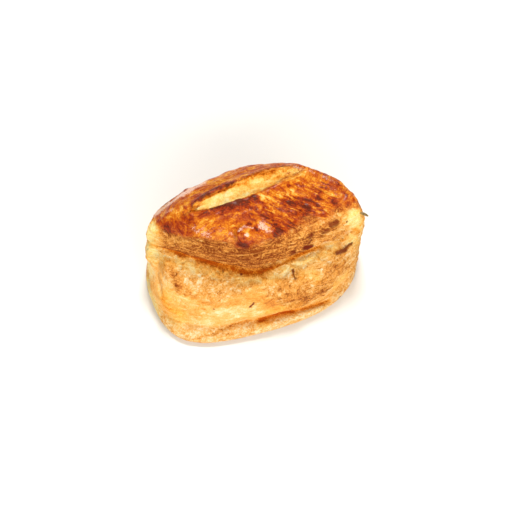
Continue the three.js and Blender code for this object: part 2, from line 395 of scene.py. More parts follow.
fan_across = points[:, 1] * math.cos(FAN_TURN) - points[:, 0] * math.sin(FAN_TURN)
fan = smoothstep(*FAN_ALONG, along) * smoothstep(*FAN_ACROSS, across + FAN_SLANT * along)
fan *= 1 - FAN_FADED * smoothstep(*FAN_FADING, points[:, 0])


def grain_places(level):
    """Places squeezed along the grain, for a noise whose bumps are long that way."""
    return np.stack([points[:, 0] * GRAIN_SQUEEZE, points[:, 1] * GRAIN_SQUEEZE, level], axis=1)


print("share of the fan:", round(float(fan.mean()), 2))

# %% [markdown]
# The wall has two grains too. Above the layer that tore across the front it is rough and
# wrinkled. Below that layer, at the left, the dough wasn't stretched and stayed smoother.

# %% Torn and smooth dough
TORN_LAYER = [(177, 289), (191, 292), (204, 299), (221, 302), (238, 295), (258, 286)]
TORN_LAYER_ENDS = (12.0, 0.0, 8.0)  # mm, right of the middle
TORN_SOFT = 1.5  # mm either side
SMOOTH_DOUGH = 0.55  # how rough smooth dough is
TORN_DOUGH = 0.45  # how much rougher torn dough is
torn_layer = np.vstack([trace(TORN_LAYER), [TORN_LAYER_ENDS]])
torn_height = np.interp(points[:, 0], torn_layer[:, 0], torn_layer[:, 2])
above_tear = smoothstep(-TORN_SOFT, TORN_SOFT, height - torn_height + wander)
torn = SMOOTH_DOUGH + TORN_DOUGH * above_tear
print("torn from about, mm:", torn_height.min().round(1), "to", torn_height.max().round(1))

# %% [markdown]
# ## Relief
#
# Laminated dough tears in layers, so the wall is full of low terraces that run round the bun.
# The belly of the cap has been stretched and has fine creases along it, while the glaze is
# smooth, with a few blisters and, at its right, a fan of wrinkles. All of these are real shape
# here, not only shading, so they show at the edges too. Each is a noise, squeezed the way that
# the dough was rolled, and each region mixes a few of them.

# %% Noises of the dough
NOISES = {
    # size in mm, octaves, stretch, shift
    "terraces": (2.6, 3, (0.3, 0.3, 1.5), 0.0),
    "crags": (4.0, 4, (1.0, 1.0, 1.3), 11.0),
    "grain": (1.3, 2, (1.0, 1.0, 1.0), 5.0),
    "belly folds": (1.9, 3, (0.13, 0.13, 1.5), 3.0),
    "blisters": (5.0, 2, (1.0, 1.0, 1.0), 21.0),
    "foot swells": (3.0, 3, (1.0, 1.0, 0.6), 17.0),
}
RING_FOLDS = (1.6, 3)
FAN_FOLDS = (1.5, 3, (1.0, 1.0, 1.0), 40.0)
CRUMB_THREADS = (1.7, 3, (0.35, 1.1, 1.0), 8.0)
noises = {name: rough(points, *row) for name, row in NOISES.items()}
noises["crags"] = np.abs(noises["crags"])
noises["pits"] = np.abs(noises["grain"])
noises["crumb threads"] = rough(np.stack([along, across, height], axis=1), *CRUMB_THREADS)
noises["even"] = 1.0
ring_folds = rough(grain_places(ring), *RING_FOLDS)
fan_folds = rough(grain_places(fan_across), *FAN_FOLDS)
folds = ring_folds * (1 - fan) + fan_folds * fan


def mixed(noises, shares):
    """The sum of some noises, each times its share. They are arrays, or later wires of nodes."""
    first, *others = (noises[name] * share for name, share in shares.items())
    return sum(others, first)


print("noises:", list(noises))

# %% [markdown]
# The noises now move each region in or out, by less than a millimetre for most of them. The
# crease is also cut a little deeper than in the solid, most of all at the front and the back.

# %% Layers, folds and wrinkles
# all in mm
WALL_RISE = {"terraces": 0.6, "crags": -0.8, "grain": 0.34, "even": 0.25}
BELLY_RISE = {"belly folds": 0.7, "grain": 0.2}
CRUMB_RISE = {"crumb threads": 0.7, "pits": -0.5}
BLISTER_RISE = 0.3
FOLD_RISE = 0.3
FAN_RISE = 0.45  # more than the folds elsewhere
FOOT_RISE = {"foot swells": 0.3}
CREASE_DEPTH = 1.2
CREASE_WIDTH = 1.1
rise = wall * torn * mixed(noises, WALL_RISE) + belly * mixed(noises, BELLY_RISE)
rise += glaze * (BLISTER_RISE * noises["blisters"] + (FOLD_RISE + FAN_RISE * fan) * folds)
rise += crumb * mixed(noises, CRUMB_RISE) + foot * mixed(noises, FOOT_RISE)
crease_share = 0.5 + 0.5 * np.abs(np.sin(around))  # half as deep at the two ends
rise -= CREASE_DEPTH * crease_share * bell(above_crease, CREASE_WIDTH)
print("relief, mm:", rise.min().round(2), "to", rise.max().round(2))

# %% [markdown]
# Some forms have a place of their own: the torn layer across the front, the burnt lips of the
# slash, the blisters that catch the light. Each is a line traced in the picture.

# %% Single forms
BACK_LIP = [(194, 205), (201, 198), (209, 193), (219, 188), (231, 184)]
FRONT_LIP = [(214, 208), (224, 206), (236, 201), (249, 198), (262, 196)]
UNDER_LAYER = [(177, 293), (191, 297), (205, 303), (222, 307), (239, 300), (256, 291)]
SEAM_LEFT = [(198, 339), (215, 334), (232, 325), (246, 321), (258, 321)]
SEAM_RIGHT = [(260, 320), (270, 317), (282, 313), (293, 311), (303, 309), (316, 305), (329, 301)]
FOOT_LIP = [(262, 327), (280, 322), (300, 315), (320, 308)]
FORMS = [
    # name, pixels, half width in mm, rise in mm
    ("burnt back lip", BACK_LIP, 1.1, 0.8),
    ("burnt front lip", FRONT_LIP, 1.2, 0.5),
    ("edge of the torn layer", TORN_LAYER, 0.9, 0.6),
    ("shadow under the torn layer", UNDER_LAYER, 0.9, -0.6),
    ("flake on the torn layer", [(240, 289), (246, 294)], 1.0, 0.5),
    ("seam at the left", SEAM_LEFT, 0.7, -0.5),
    ("seam at the right", SEAM_RIGHT, 0.9, -0.9),
    ("lip of the foot", FOOT_LIP, 1.3, 0.5),
    ("first blister", [(247, 235)], 1.7, 0.6),
    ("ring round the first blister", [(239, 232), (243, 226), (251, 225), (256, 230)], 0.7, -0.4),
    ("second blister", [(265, 227), (269, 229)], 1.9, 0.6),
    ("dark blister", [(241, 244), (246, 244)], 1.6, 0.7),
    ("swell of the back right", [(340, 185), (352, 197)], 4.0, 0.9),
    ("swell of the left shoulder", [(156, 213)], 4.0, 0.8),
    ("layer at the left end", [(148, 268), (148, 280), (150, 292)], 1.5, 0.6),
    ("cut at the left end", [(158, 262), (157, 275), (160, 290)], 1.0, -0.8),
    ("crater in the left wall", [(172, 272), (175, 274)], 1.1, -0.5),
    ("ridge under the crease", [(300, 262), (314, 256), (322, 262), (330, 272)], 1.0, 0.5),
    ("fold at the right end", [(330, 262), (342, 258), (354, 254)], 1.0, -0.4),
]
RELIEF_STARTS = 0.6  # mm up, so that the underside stays flat
RELIEF_WHOLE = 4.0
for name, pixels, width, lift in FORMS:
    rise += lift * bell(distance_to_line(points, trace(pixels)), width)
rise *= smoothstep(RELIEF_STARTS, RELIEF_WHOLE, height)
print("single forms:", len(FORMS))

# %% [markdown]
# Every point now moves along its own normal, by its rise. No point may end up below the floor.

# %% Moving the skin
moved = points + normals * rise[:, None]
moved[:, 2] = np.maximum(moved[:, 2], 0.0)
bun_skin.data.vertices.foreach_set("co", (moved * MM).ravel())
bun_skin.data.update()
print("most that a point moved, mm:", np.abs(rise).max().round(2))

# %% [markdown]
# ## How well done each spot is
#
# Baking takes dough along one road of colour, from cream through gold to dark brown. So one
# number, how well done a spot is, paints the bun. Every region has its own mean, and strokes add
# to it where the oven was hotter or take from it where it wasn't. A few strokes paint light and
# shade instead: the thin shadow of the seam, painted highlights on the cap and painted light in
# the shade under the crease.

# %% Strokes of the oven, and of painted light and shade
PALE_HEM = [(185, 249), (208, 257), (230, 264), (245, 267), (262, 264)]
BAKE_STROKES = [
    # name, pixels, half width in mm, change
    ("burnt back lip", BACK_LIP, 2.2, 0.46),
    ("burnt front lip, left", [(212, 209), (223, 206), (235, 203)], 0.9, 0.6),
    ("burnt front lip, right", [(233, 203), (244, 201), (254, 199)], 2.4, 0.42),
    ("gold right of the front lip", [(264, 199), (276, 198), (289, 199)], 2.0, -0.42),
    ("gold end of the slash", [(272, 184), (288, 179), (303, 174)], 2.4, -0.24),
    ("gold behind the back lip", [(203, 183), (220, 180), (238, 178)], 1.8, -0.16),
    ("brown front of the cap", [(228, 216), (245, 214), (260, 217), (278, 209)], 2.8, 0.16),
    ("brown far right of the cap", [(320, 201), (332, 211), (345, 211)], 2.6, 0.16),
    ("paler belly at the left", [(152, 238), (166, 240), (186, 243)], 3.0, -0.3),
    ("darker smooth wall", [(232, 301), (250, 297), (272, 301), (280, 308)], 3.6, 0.16),
    ("end of the right wall", [(320, 295), (306, 300)], 2.6, 0.26),
    ("brown before the slash", [(205, 213), (225, 211), (240, 207)], 1.8, 0.14),
    ("red at the left", [(174, 230), (183, 231), (187, 225)], 3.0, 0.24),
    ("red rim at the left", [(158, 218), (160, 227), (168, 232)], 1.6, 0.26),
    ("gold left of the slash", [(170, 213), (185, 208), (196, 206)], 2.4, -0.14),
    ("brown below the slash", [(200, 213), (215, 212), (230, 208)], 1.6, 0.14),
    ("gold of the cap", [(215, 222), (228, 221), (238, 214)], 2.6, -0.12),
    ("gold beside the first blister", [(226, 232), (234, 236)], 2.4, -0.12),
    # painted highlight on the left swell, with pale scales
    ("pale scales", [(195, 226), (203, 230), (211, 235)], 2.4, -0.06),
    # painted highlight on the first blister
    ("painted highlight of the first blister", [(247, 232)], 2.6, -0.16),
    ("ring round the first blister", [(239, 233), (242, 226), (250, 223), (257, 229)], 0.9, 0.22),
    ("second blister", [(263, 227), (269, 229)], 2.0, 0.1),
    ("dark side of that blister", [(273, 221), (279, 229), (275, 237)], 2.2, 0.3),
    ("dark blister", [(240, 245), (246, 245)], 2.2, 0.4),
    ("front wrinkle", [(284, 197), (300, 196), (313, 201), (323, 208)], 1.0, 0.2),
    ("brown between the wrinkles", [(284, 202), (298, 204), (308, 206)], 2.6, 0.46),
    ("pale wrinkle", [(292, 190), (307, 195), (319, 203), (326, 211)], 0.5, -0.22),
    ("second pale wrinkle", [(268, 205), (282, 212), (294, 221)], 0.5, -0.2),
    ("third pale wrinkle", [(300, 199), (312, 206), (320, 213)], 0.5, -0.22),
    ("brown right of the cap", [(341, 190), (346, 198), (348, 205)], 1.2, 0.2),
    ("brown spot of the cap", [(333, 202), (338, 206)], 1.5, 0.26),
    ("brown behind the slash", [(248, 171), (265, 168), (283, 166)], 1.8, 0.14),
    ("brown right of the slash", [(265, 190), (280, 186), (296, 184)], 1.5, 0.12),
    ("brown rim at the front right", [(283, 228), (298, 221), (310, 216)], 2.6, 0.28),
    ("paler belly at the right", [(295, 240), (315, 228), (335, 218)], 4.5, -0.16),
    ("palest belly at the right", [(318, 243), (334, 236), (347, 228)], 4.4, -0.34),
    ("paler hem of the lobe", PALE_HEM, 1.0, -0.12),
    ("hem of the lobe, right", [(270, 262), (285, 256), (300, 250)], 1.0, -0.1),
    ("brown near the right end", [(324, 277), (332, 270)], 3.0, 0.16),
    # painted light: lifts the cream that lies in the shade under the crease
    ("painted light under the crease", [(286, 272), (300, 266), (314, 259), (321, 265)], 2.4, -0.1),
    ("brown of the right wall", [(284, 285), (300, 290), (318, 287), (330, 284)], 4.4, 0.16),
    ("low brown right wall", [(265, 303), (285, 302), (305, 299), (322, 294)], 2.6, 0.12),
    ("brown of the right end", [(338, 266), (348, 268)], 2.6, 0.16),
    ("orange of the right end", [(345, 285), (336, 290)], 2.0, 0.1),
    ("pale smooth dough", [(192, 328), (208, 321), (224, 313), (243, 308), (256, 312)], 4.2, -0.14),
    ("low gold of the left wall", [(180, 312), (200, 312)], 3.0, 0.05),
    ("browned tear", [(176, 287), (184, 293), (192, 296)], 1.6, 0.2),
    ("browned end of the tear", [(200, 302), (209, 304)], 1.0, 0.2),
    ("browned crater", [(169, 270), (174, 276), (178, 272)], 0.9, 0.2),
    ("thin shadow of the seam", SEAM_LEFT, 0.5, 0.3),
    ("pale lip of the foot", FOOT_LIP, 1.8, -0.16),
]
print("strokes of the oven:", len(BAKE_STROKES))

# %% [markdown]
# Layers that stand proud brown more than the ones behind them, so the noises that shaped the
# skin also change its colour. The back, which the picture doesn't show, gets broad patches of its
# own, so that it is as uneven as the front.

# %% Doneness
MEAN_DONENESS = {"foot": 0.3, "wall": 0.42, "belly": 0.79, "glaze": 0.53}
WALL_BROWNING = {"terraces": 0.17, "crags": -0.26, "grain": 0.12, "even": 0.02}
BELLY_BROWNING = {"belly folds": 0.1, "grain": 0.06}
FOLD_BROWNING = 0.12
FAN_BROWNING = 0.14  # more than the folds elsewhere
EVERYWHERE = 0.06
STROKE_WANDER = 0.4  # of a stroke's half width
PATCHES_BEHIND = (15.0, 2, (1.0, 1.0, 1.0), 50.0)  # size in mm, octaves, stretch, shift
BEHIND = (4.0, 16.0)  # mm to the back, over which the patches come in
PATCH_CHANGE = {"wall": 0.2, "glaze": 0.1, "belly": 0.1}

folded = wall * torn * mixed(noises, WALL_BROWNING) + belly * mixed(noises, BELLY_BROWNING)
folded += glaze * folds * (FOLD_BROWNING + FAN_BROWNING * fan)
regions = {"foot": foot, "wall": wall, "belly": belly, "glaze": glaze}
done = mixed(regions, MEAN_DONENESS)


def uneven_distance(pixels, width):
    """How far each point is from a stroke whose edge wanders."""
    return distance_to_line(points, trace(pixels)) + STROKE_WANDER * width * wander


for name, pixels, width, change in BAKE_STROKES:
    done += change * bell(uneven_distance(pixels, width), width)
done += folded + EVERYWHERE * wander
hidden = smoothstep(*BEHIND, points[:, 1]) * (1 - crumb)
done += hidden * mixed(regions, PATCH_CHANGE) * rough(points, *PATCHES_BEHIND)
print("doneness:", done.min().round(2), "to", done.max().round(2))

# %% [markdown]
# Some dough is butter yellow, whatever its doneness: the crumb and the torn ends. The same road
# of yellow also paints shade and light: an orange band of painted shade deep in the crease and in
# the seam over the foot, and painted warm light on the dough in the shade under the lobe. A yellow
# stroke sets how yellow a spot is and how well done.

# %% Strokes of butter yellow
CREASE_LINE = [
    (164, 249), (172, 252), (181, 254), (190, 256), (199, 259), (209, 262), (219, 265), (229, 268),
    (239, 271), (250, 273), (260, 272), (270, 269), (280, 265), (290, 260), (300, 255), (310, 251),
    (320, 247), (330, 244), (340, 241), (350, 238),
]
WARM_LIGHT_ON_SHADED_WALL = [(162, 259), (188, 265), (204, 269), (218, 274)]
WARM_LIGHT_ON_SHADED_CREAM = [(284, 270), (301, 263), (314, 257), (334, 248)]
YELLOW_AND_SHADE_STROKES = [
    # name, pixels, half width in mm, how yellow, doneness
    ("left tip of the cap", [(151, 228), (149, 240), (152, 250)], 5.0, 1.0, 0.18),
    ("left end of the wall", [(149, 268), (147, 283), (151, 296), (157, 312)], 3.6, 0.9, 0.1),
    ("notch of the left end", [(148, 255), (154, 260)], 2.4, 0.9, 0.34),
    ("gold of the left wall", [(163, 298), (168, 307), (180, 313)], 2.8, 1.0, 0.6),
    ("butter beside the gold", [(180, 322), (172, 318)], 3.0, 0.6, 0.36),
    ("right tip of the cap", [(355, 212), (355, 220), (358, 228)], 3.8, 1.0, 0.16),
    ("right end under the crease", [(350, 238), (358, 242)], 2.6, 0.8, 0.34),
    ("gold spot of the right tip", [(354, 229), (358, 232)], 1.5, 1.0, 0.66),
    ("butter of the right end", [(345, 276), (336, 284)], 3.0, 0.7, 0.4),
    ("gold above the wall", [(300, 275), (312, 272), (318, 279)], 2.4, 0.6, 0.56),
    # painted shade: the orange band in the groove of the seam over the foot
    ("painted shade of the seam, left", SEAM_RIGHT[:4], 1.2, 1.0, 1.0),
    ("painted shade of the seam, right", SEAM_RIGHT[3:], 0.7, 0.9, 0.84),
    # painted shade and painted warm light on the dough in the shade under the lobe
    ("painted orange shade under the lobe", [(214, 268), (224, 272), (236, 275)], 1.2, 0.8, 0.62),
    ("painted warm light under the lobe", [(238, 279), (252, 281), (276, 278)], 2.4, 0.6, 0.4),
    ("painted warm light on the wall", WARM_LIGHT_ON_SHADED_WALL, 2.8, 0.6, 0.42),
    ("painted warm light on the cream", WARM_LIGHT_ON_SHADED_CREAM, 2.4, 0.7, 0.24),
    ("gold over the seam", [(268, 312), (284, 308), (300, 304)], 1.6, 0.5, 0.66),
    # painted shade: the orange band deep in the crease
    ("crease, left", CREASE_LINE[:5], 1.1, 1.0, 0.9),
    ("crease, middle", CREASE_LINE[4:11], 1.5, 1.0, 0.98),
    ("crease, right", CREASE_LINE[10:17], 0.9, 1.0, 0.9),
    ("crease, its end", CREASE_LINE[16:], 0.6, 0.7, 0.7),
    ("foot under the seam", [(258, 325), (268, 323)], 1.2, 0.8, 0.66),
]
print("yellow strokes:", len(YELLOW_AND_SHADE_STROKES))

# %% [markdown]
# The crumb has its own doneness. It is palest at the left, browner towards the right, where
# threads of crust cross it, and brown just inside the two lips. Inside the back lip, where the
# edge of the slash lies in shade, that brown is partly painted shade. The back of the crease gets
# the same painted orange shade as the front, though without traced strokes.

# %% The crumb and the yellow dough
CRUMB_MEAN = 0.24
CRUMB_TO_RIGHT = (-8.0, 22.0)  # mm along the slash, over which it gets browner
CRUMB_RIGHT = 0.3
CRUMB_LIPS = {"front": (0.44, 0.7), "back": (0.56, 1.3)}  # change, half width in mm
CRUMB_PALING = {"crumb threads": 0.34, "grain": 0.1}
BROWNED_EDGE = [(246, 178), (262, 174)]  # pixels
BROWNED_CHANGE = 0.24
BROWNED_WIDTH = 2.0  # mm
CREASE_SHADE_BEHIND = {"amount": 0.8, "lower": 0.4, "width": 1.0, "doneness": 0.8}
FRONT_EDGE = (0.1, -0.5)  # of the sine of the angle round the bun

front_change, front_width = CRUMB_LIPS["front"]
back_change, back_width = CRUMB_LIPS["back"]
crumb_done = CRUMB_MEAN + CRUMB_RIGHT * smoothstep(*CRUMB_TO_RIGHT, along)
# brown inside the back lip: partly browning, partly painted shade of the slash's back edge
crumb_done += back_change * bell(inside_back, back_width)
crumb_done += front_change * bell(inside_front, front_width)
crumb_done -= mixed(noises, CRUMB_PALING)
browned = distance_to_line(points, trace(BROWNED_EDGE))
crumb_done += BROWNED_CHANGE * bell(browned, BROWNED_WIDTH)

# the back of the crease gets the same band of painted orange shade, without traced strokes
at_front = smoothstep(*FRONT_EDGE, np.sin(around))
crease_shade_behind = bell(above_crease + CREASE_SHADE_BEHIND["lower"], CREASE_SHADE_BEHIND["width"])
crease_shade_behind *= CREASE_SHADE_BEHIND["amount"] * (1 - at_front)
yellow_and_shade_marks = []
for name, pixels, width, amount, doneness in YELLOW_AND_SHADE_STROKES:
    mark = amount * bell(uneven_distance(pixels, width), width) * (1 - glaze)
    yellow_and_shade_marks.append((mark, doneness + folded + EVERYWHERE * wander))
yellow_and_shade_marks.append((crease_shade_behind * (1 - glaze), CREASE_SHADE_BEHIND["doneness"]))
yellow_and_shade_marks.append((crumb, crumb_done))

yellow = np.zeros(count)
for mark, doneness in yellow_and_shade_marks:
    done = done * (1 - mark) + doneness * mark
    yellow = np.maximum(yellow, mark)
done = np.clip(done, 0.0, 1.0)
print("share of yellow dough:", round(float(yellow.mean()), 2))

# %% [markdown]
# Pale, pinkish patches paint the highlights on the swells and the sheen along the rim of the cap,
# in shining scales like those of dried egg wash. The strokes say where they are, and the finish
# breaks them up.

# %% Painted highlights and scales
HIGHLIGHTS_AND_SCALES = [
    # name, pixels, half width in mm, how pale
    ("scales of the left swell", [(193, 229), (201, 231), (209, 236)], 2.7, 0.68),
    ("specks of gold", [(216, 226), (224, 234), (233, 236)], 3.0, 0.45),
    ("crown of the first blister", [(247, 235)], 1.5, 1.15),
    ("arc over the first blister", [(239, 231), (245, 226), (253, 228)], 0.7, 0.9),
    ("crown of the second blister", [(262, 226), (268, 229)], 2.5, 0.95),
    ("rim at the left", [(157, 215), (164, 208), (175, 200), (189, 191), (203, 183)], 3.0, 1.0),
    ("scale at the left", [(166, 213), (171, 210)], 1.4, 0.75),
    ("rim at the back", [(215, 177), (232, 171), (250, 166)], 1.6, 0.62),
    ("specks on the front", [(240, 212), (258, 208), (272, 203), (284, 210)], 2.6, 0.46),
    ("specks on the right", [(300, 186), (318, 184), (334, 190), (340, 200)], 2.6, 0.46),
    ("rim at the top", [(288, 165), (300, 168), (314, 173)], 1.5, 0.62),
    ("rim at the back right", [(322, 176), (336, 184)], 1.4, 0.7),
    ("rim at the right", [(353, 197), (359, 207)], 1.5, 0.6),
]
scales = np.zeros(count)
for name, pixels, width, pale in HIGHLIGHTS_AND_SCALES:
    scales = np.maximum(scales, pale * bell(uneven_distance(pixels, width), width))
print("strokes of scales:", len(HIGHLIGHTS_AND_SCALES))

# %% [markdown]
# Crackling leaves dark reddish bits in the crust. They have hard edges, so each is a step rather
# than a bell. Three more lie on the back, as the dough is the same there.

# %% Crackling
BITS = [
    # name, pixels, half width in mm, how dark
    ("wide bit", [(332, 225), (336, 223)], 1.6, 0.8),
    ("its neighbour", [(323, 233), (328, 230)], 1.0, 0.75),
    ("round bit", [(310, 237), (312, 235)], 1.2, 0.8),
    ("dark bit", [(306, 248), (311, 247)], 1.7, 1.0),
    ("top of the dark bit", [(309, 243), (311, 240)], 0.7, 0.8),
    ("bit over the crease", [(291, 255), (294, 252)], 1.3, 0.85),
    ("point of that bit", [(295, 248)], 0.6, 0.8),
    ("bit of the right wall", [(337, 253), (345, 250)], 1.2, 0.9),
    ("its tail", [(346, 247), (352, 243)], 0.6, 0.9),
    ("drip", [(293, 270), (294, 277)], 0.6, 0.9),
    ("foot of the drip", [(295, 279)], 0.8, 0.9),
    ("rust beside the drip", [(297, 274)], 0.8, 0.45),
    ("dark fleck of the front", [(250, 307), (254, 303)], 0.5, 1.0),
    ("fleck under the lobe", [(241, 274)], 0.6, 1.0),
    ("small fleck under the lobe", [(223, 271)], 0.45, 0.9),
    ("fleck of the low wall", [(214, 309)], 0.5, 0.9),
    ("fleck of the right tip", [(347, 222)], 0.5, 0.9),
    ("fleck of the foot", [(340, 297)], 0.6, 0.9),
    ("fleck of the wall", [(268, 296)], 0.45, 0.6),
]
BITS_BEHIND = [
    # place and half width in mm
    ((-25.3, 23.8, 39.0), 1.2), ((14.3, 29.1, 33.9), 1.3), ((34.6, 21.3, 35.9), 1.1),
]
BIT_EDGE = (1.25, 0.6)  # of the half width, from crust to crackling
BIT_FRAY = 0.25  # mm
BIT_BEHIND_FRAY = 0.5  # mm
BIT_BEHIND_DARK = 0.85


def bit(away, width):
    return smoothstep(BIT_EDGE[0] * width, BIT_EDGE[1] * width, away)


bits = np.zeros(count)
for name, pixels, width, dark in BITS:
    away = distance_to_line(points, trace(pixels)) + BIT_FRAY * noises["grain"]
    bits = np.maximum(bits, dark * bit(away, width))
for place, width in BITS_BEHIND:
    away = np.linalg.norm(points - np.array(place), axis=1) + BIT_BEHIND_FRAY * noises["grain"]
    bits = np.maximum(bits, BIT_BEHIND_DARK * bit(away, width))
print("crackling bits:", len(BITS) + len(BITS_BEHIND))

# %% [markdown]
# All that is known of a point is stored on it, as attributes that a material can read.

# %% Attributes of the skin
attributes = {
    "done": done, "glaze": glaze, "yellow": yellow, "scales": scales, "bits": bits,
    "ring": ring, "fan": fan, "fan_across": fan_across, "torn": torn * wall + (1 - wall),
}
for name, values in attributes.items():
    layer = bun_skin.data.attributes.new(name, "FLOAT", "POINT")
    layer.data.foreach_set("value", values.astype(np.float32))
print("attributes:", list(attributes))

# %% [markdown]
# ## The finishes
#
# A finish is a small program of nodes. Writing its sums as Python keeps them readable: a Wire
# is one socket, and adding or multiplying wires adds the Math nodes.

# %% Colours and wires
def srgb(red, green, blue):
    """A colour as a painter picks it, 0 to 255, in the linear values that Blender works in."""
    def linear(channel):
        share = channel / 255
        return share / 12.92 if share <= 0.04045 else ((share + 0.055) / 1.055) ** 2.4
    return (linear(red), linear(green), linear(blue), 1.0)


def plug(tree, socket, value):
    if isinstance(value, Wire):
        tree.links.new(value.socket, socket)
    else:
        socket.default_value = value


class Wire:
    """One output socket. Sums on it add Math nodes."""

    def __init__(self, tree, socket):
        self.tree = tree
        self.socket = socket

    def math(self, operation, first, second=0.0):
        node = self.tree.nodes.new("ShaderNodeMath")
        node.operation = operation
        plug(self.tree, node.inputs[0], first)
        plug(self.tree, node.inputs[1], second)
        return Wire(self.tree, node.outputs[0])

    def __add__(self, other):
        return self.math("ADD", self, other)

    def __sub__(self, other):
        return self.math("SUBTRACT", self, other)

    def __rsub__(self, other):
        return self.math("SUBTRACT", other, self)

    def __mul__(self, other):
        return self.math("MULTIPLY", self, other)

    def absolute(self):
        return self.math("ABSOLUTE", self)

    def clamped(self):
        return self.math("MINIMUM", self.math("MAXIMUM", self, 0.0), 1.0)

    __radd__ = __add__
    __rmul__ = __mul__


print("a middle grey in linear values:", round(srgb(128, 128, 128)[0], 2))

# %% [markdown]
# A Finish holds one material, and its add method makes any other node from its type, settings
# and sockets. The other methods are short names for the nodes that a crust needs.

# %% A finish and its nodes
RIDGE_DETAIL = (3.0, 0.6)
RIDGE_MIDDLE = 0.5
RIDGE_STEEPNESS = 3.0
GRAIN_PLACES = (0.22, 0.22, 0.0)  # squeezed along the grain


class Finish:
    """A material and its nodes."""

    def __init__(self, name):
        self.material = bpy.data.materials.new(name)
        self.material.use_nodes = True
        self.tree = self.material.node_tree
        self.tree.nodes.clear()

    def add(self, kind, settings, sockets, output=0):
        node = self.tree.nodes.new(kind)
        for setting, value in settings.items():
            if setting == "stops":
                self.set_stops(node.color_ramp, value)
            else:
                setattr(node, setting, value)
        for name, value in sockets.items():
            socket = next(s for s in node.inputs if s.enabled and name in (s.name, s.identifier))
            plug(self.tree, socket, value)
        outputs = [s for s in node.outputs if s.enabled]
        chosen = outputs[output] if isinstance(output, int) else node.outputs[output]
        return Wire(self.tree, chosen)

    def set_stops(self, ramp, stops):
        while len(ramp.elements) < len(stops):
            ramp.elements.new(1.0)
        for element, (place, colour) in zip(ramp.elements, stops):
            element.position = place
            element.color = colour

    def attribute(self, name):
        return self.add("ShaderNodeAttribute", {"attribute_name": name}, {}, "Fac")

    def place(self, stretch):
        """Object coordinates in millimetres, squeezed along each axis."""
        place = self.add("ShaderNodeTexCoord", {}, {}, "Object")
        scale = tuple(share / MM for share in stretch)
        sockets = {"Vector": place, "Vector_001": scale}
        return self.add("ShaderNodeVectorMath", {"operation": "MULTIPLY"}, sockets)

    def grain(self, way_across):
        """Coordinates along a grain of the crust, from a wire that counts the way across it."""
        level = self.add("ShaderNodeCombineXYZ", {}, {"Z": way_across})
        squeezed = self.place(GRAIN_PLACES)
        sockets = {"Vector": squeezed, "Vector_001": level}
        return self.add("ShaderNodeVectorMath", {"operation": "ADD"}, sockets)

    def noise(self, place, size, detail=2.0, roughness=0.5, distortion=0.0):
        """Noise from 0 to 1 with bumps of this size in mm."""
        sockets = {"Vector": place, "Scale": 1 / size, "Detail": detail}
        sockets.update({"Roughness": roughness, "Distortion": distortion})
        return self.add("ShaderNodeTexNoise", {"noise_dimensions": "3D"}, sockets, "Fac")

    def ridges(self, place, size, distortion):
        """Noise folded at its middle, which gives thin crooked ridges, 1 at their tops."""
        hills = self.noise(place, size, *RIDGE_DETAIL, distortion)
        return 1.0 - ((hills - RIDGE_MIDDLE) * RIDGE_STEEPNESS).absolute()

    def ramp(self, value, stops):
        return self.add("ShaderNodeValToRGB", {"stops": stops}, {"Fac": value}, "Color")

    def mix(self, share, first, second):
        settings = {"data_type": "RGBA", "blend_type": "MIX"}
        return self.add("ShaderNodeMix", settings, {"Factor": share, "A": first, "B": second})

    def bump(self, height, strength=1.0):
        """A height in mm as a normal."""
        sockets = {"Height": height, "Distance": MM, "Strength": strength}
        return self.add("ShaderNodeBump", {}, sockets)

    def surface(self, sockets):
        shader = self.add("ShaderNodeBsdfPrincipled", {}, sockets)
        node = self.tree.nodes.new("ShaderNodeOutputMaterial")
        self.tree.links.new(shader.socket, node.inputs["Surface"])


EVENLY = (1.0, 1.0, 1.0)  # a place that isn't squeezed
print("helpers of a finish:", len(vars(Finish)))

# %% [markdown]
# The crust is one material with three roads of colour. Dry dough goes from cream to brown, egg
# wash goes from gold through orange to nearly black, and yellow dough from butter to orange. The
# yellow road also carries the painted shade of the crease and the seam. How well done a spot is
# says how far along its road it lies.

# %% Colours of the crust
DRY_DOUGH = [
    (0.0, srgb(249, 230, 190)),
    (0.2, srgb(246, 211, 154)),
    (0.4, srgb(240, 182, 102)),
    (0.6, srgb(227, 153, 66)),
    (0.8, srgb(194, 117, 50)),
    (1.0, srgb(134, 60, 14)),
]
EGG_WASH = [
    (0.0, srgb(236, 190, 106)),
    (0.22, srgb(220, 148, 44)),
    (0.42, srgb(196, 106, 10)),
    (0.6, srgb(172, 72, 2)),
    (0.76, srgb(146, 42, 0)),
    (0.9, srgb(122, 28, 2)),
    (1.0, srgb(86, 20, 6)),
]
BUTTER = [
    (0.0, srgb(255, 238, 172)),
    (0.3, srgb(255, 211, 116)),
    (0.6, srgb(247, 165, 58)),
    (0.82, srgb(206, 110, 10)),
    (1.0, srgb(180, 74, 0)),
]
# pale pinkish dried egg, also the colour of the painted highlights and sheen
DRIED_EGG_AND_HIGHLIGHT = srgb(238, 198, 176)
CRACKLING = srgb(112, 30, 10)
print("stops of the three roads:", len(DRY_DOUGH), len(EGG_WASH), len(BUTTER))

# %% [markdown]
# Fine noise breaks every colour up. Each road gets a mottle, which moves its doneness: dry dough
# is flaky and porous, and egg wash runs in streaks along its grain and pools in blotches. The
# glaze mask picks between the roads and sets the gloss.

